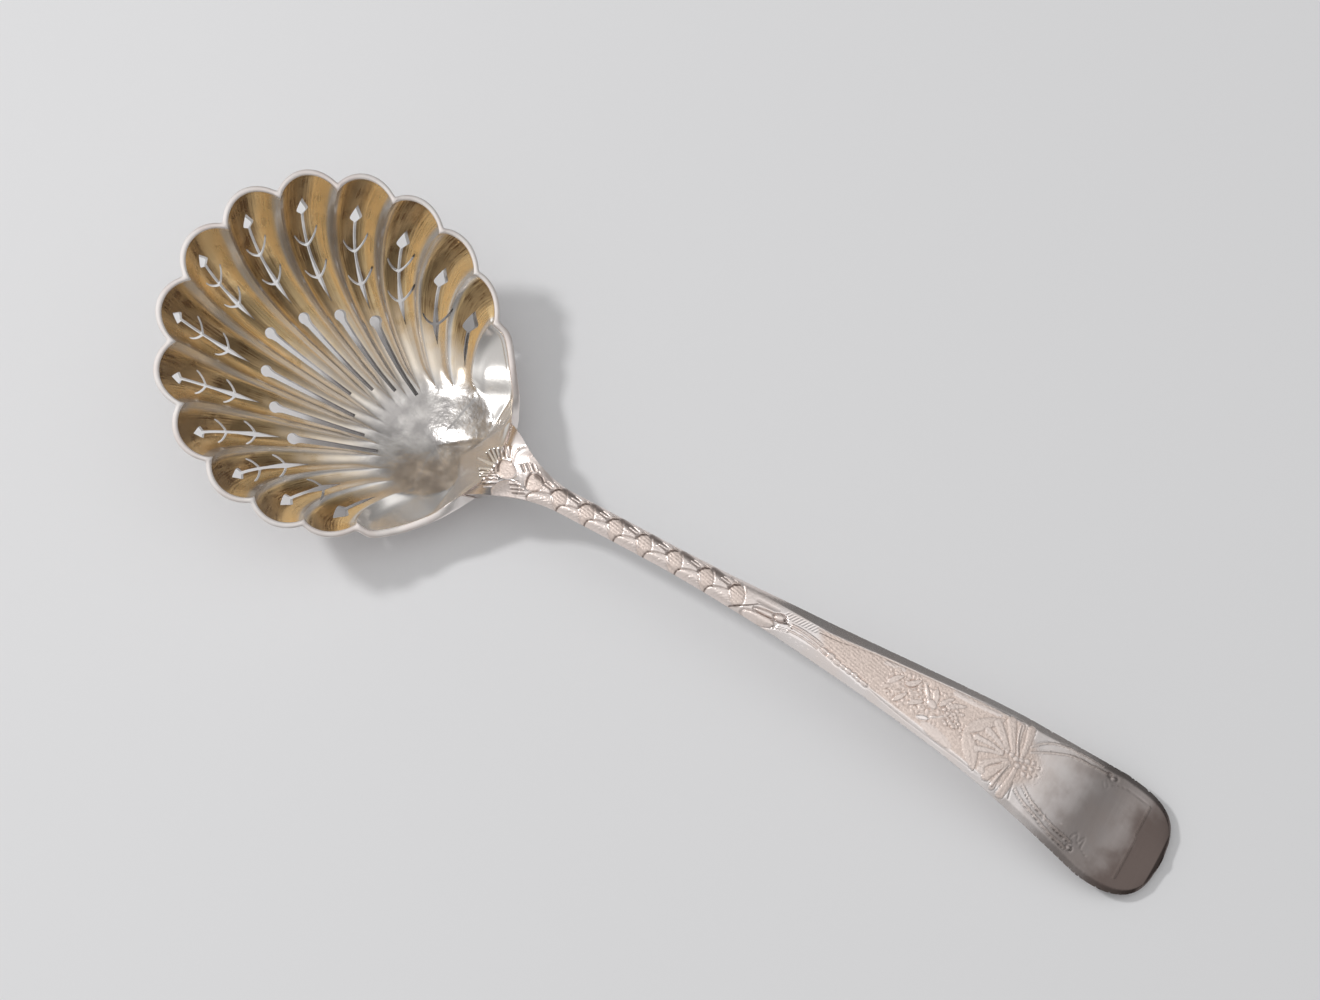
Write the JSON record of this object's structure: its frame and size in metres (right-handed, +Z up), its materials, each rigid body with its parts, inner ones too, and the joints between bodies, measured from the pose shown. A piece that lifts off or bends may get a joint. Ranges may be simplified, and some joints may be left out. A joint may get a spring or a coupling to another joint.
{
  "type": "sifter spoon",
  "caption": "Ladle-form spoon with a fluted, pierced shell bowl, a slender stem and a widening, turned-down handle end; for sifting sugar.",
  "frame": {"origin": "on the table, under the middle of the spoon's box as it lies face up", "axes": "+X from the bowl to the handle's end, +Z up out of the bowl, +Y to the left of someone who looks along +X"},
  "size_m": [0.1746, 0.0582, 0.0325],
  "materials": {
    "parcel_gilt": "polished silver, gilt over the outer part of each flute and worn bare on the ridges",
    "silver": "polished silver with fine scratches, darker in the engraving"
  },
  "bodies": {
    "root": {"bowl": "parcel_gilt", "stem": "silver", "heel_drop": "silver"}
  },
  "joints": []
}
